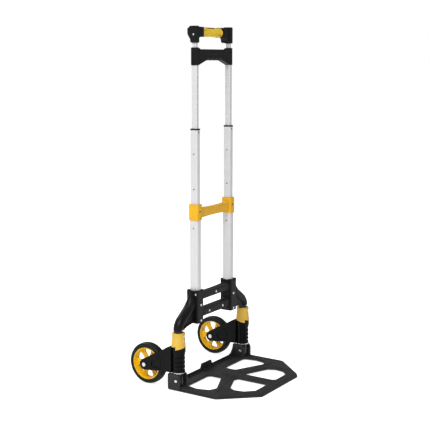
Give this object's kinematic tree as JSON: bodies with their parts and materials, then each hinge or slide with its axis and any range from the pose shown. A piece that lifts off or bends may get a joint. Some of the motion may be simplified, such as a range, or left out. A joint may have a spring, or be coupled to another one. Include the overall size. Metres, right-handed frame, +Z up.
{
  "type": "hand truck",
  "caption": "Folding hand truck with a telescopic aluminium mast, twin grips, a fold-down toe plate and wheel forks that swing in as it folds.",
  "frame": {"origin": "underside of the toe plate, midway between the legs and directly below the leg axes", "axes": "+Z up the mast, +Y back towards the wheels, +X to the right as seen from the front (the toe plate side)"},
  "size_m": [0.4212, 0.4232, 1.081],
  "materials": {
    "black_plastic": "moulded, fine texture",
    "plate_plastic": "moulded, matte texture",
    "yellow_plastic": "moulded",
    "pale_yellow_plastic": "moulded",
    "hub_plastic": "moulded",
    "grip_yellow": "soft-touch moulded",
    "mast_aluminium": "satin anodised",
    "leg_steel": "gloss black powder coat",
    "bright_steel": "zinc plated",
    "dark_steel": "blackened",
    "tyre_rubber": "moulded rubber"
  },
  "bodies": {
    "base": {"base_bracket_front": "black_plastic", "base_bracket_rear": "black_plastic", "bracket_screws": "bright_steel", "left_leg_tube": "leg_steel", "right_leg_tube": "leg_steel", "left_outer_tube": "mast_aluminium", "right_outer_tube": "mast_aluminium", "crossbar": "yellow_plastic", "crossbar_rivets": "dark_steel", "left_cam_collar": "pale_yellow_plastic", "right_cam_collar": "pale_yellow_plastic", "collar_screws": "bright_steel", "left_foot_plug": "black_plastic", "right_foot_plug": "black_plastic", "left_pivot_pin": "bright_steel", "right_pivot_pin": "bright_steel"},
    "middle_stage": {"left_middle_tube": "mast_aluminium", "right_middle_tube": "mast_aluminium", "middle_bushings": "black_plastic", "bushing_rivets": "dark_steel", "middle_lock_pins": "bright_steel"},
    "lower_handle": {"left_inner_tube": "mast_aluminium", "right_inner_tube": "mast_aluminium", "lower_grip_front": "black_plastic", "lower_grip_rear": "black_plastic", "lower_grip_screws": "bright_steel", "inner_lock_pins": "bright_steel"},
    "upper_handle": {"left_top_tube": "mast_aluminium", "right_top_tube": "mast_aluminium", "upper_grip": "black_plastic", "upper_grip_sleeve": "grip_yellow", "upper_grip_screws": "bright_steel", "top_guides": "black_plastic"},
    "release": {"release_button": "black_plastic", "release_rods": "bright_steel", "release_spring": "bright_steel"},
    "toe_plate": {"toe_plate": "plate_plastic"},
    "left_washer": {"left_thrust_washer": "bright_steel"},
    "right_washer": {"right_thrust_washer": "bright_steel"},
    "left_fork": {"left_wheel_fork": "black_plastic", "left_axle": "bright_steel"},
    "right_fork": {"right_wheel_fork": "black_plastic", "right_axle": "bright_steel"},
    "left_wheel": {"left_tyre": "tyre_rubber", "left_hub": "hub_plastic", "left_bearings": "bright_steel"},
    "right_wheel": {"right_tyre": "tyre_rubber", "right_hub": "hub_plastic", "right_bearings": "bright_steel"}
  },
  "joints": [
    {"name": "middle_slide", "type": "slide", "parent": "base", "child": "middle_stage", "axis": [0, 0, -1], "range_m": [0, 0.213]},
    {"name": "lower_handle_slide", "type": "slide", "parent": "middle_stage", "child": "lower_handle", "axis": [0, 0, -1], "range_m": [0, 0.18]},
    {"name": "upper_handle_slide", "type": "slide", "parent": "lower_handle", "child": "upper_handle", "axis": [0, 0, 1], "range_m": [0, 0.17]},
    {"name": "release_press", "type": "slide", "parent": "upper_handle", "child": "release", "axis": [0, 0, -1], "range_m": [0, 0.004], "stiffness_N_per_m": 500, "springref_m": -0.005, "deforming": ["release_spring"]},
    {"name": "toe_fold", "type": "hinge", "parent": "base", "child": "toe_plate", "pos_m": [0, -0.005, 0.031], "axis": [-1, 0, 0], "range_deg": [0, 90]},
    {"name": "left_washer_drop", "type": "slide", "parent": "base", "child": "left_washer", "axis": [0, 0, -1], "range_m": [0, 0.0076]},
    {"name": "right_washer_drop", "type": "slide", "parent": "base", "child": "right_washer", "axis": [0, 0, -1], "range_m": [0, 0.0076]},
    {"name": "left_fork_swing", "type": "hinge", "parent": "left_washer", "child": "left_fork", "pos_m": [-0.184, 0, 0.06], "axis": [0, 0, -1], "range_deg": [0, 90.5]},
    {"name": "right_fork_swing", "type": "hinge", "parent": "right_washer", "child": "right_fork", "pos_m": [0.184, 0, 0.06], "axis": [0, 0, 1], "range_deg": [0, 90.5]},
    {"name": "left_wheel_spin", "type": "hinge", "parent": "left_fork", "child": "left_wheel", "pos_m": [-0.184, 0.1117, 0.0635], "axis": [1, 0, 0], "continuous": true},
    {"name": "right_wheel_spin", "type": "hinge", "parent": "right_fork", "child": "right_wheel", "pos_m": [0.184, 0.1117, 0.0635], "axis": [1, 0, 0], "continuous": true}
  ],
  "couplings": [
    {"joint": "left_washer_drop", "follows": "toe_fold", "m_per_rad": 0.0047746},
    {"joint": "right_washer_drop", "follows": "toe_fold", "m_per_rad": 0.0047746},
    {"joint": "left_fork_swing", "follows": "toe_fold", "ratio": 1},
    {"joint": "right_fork_swing", "follows": "toe_fold", "ratio": 1}
  ]
}
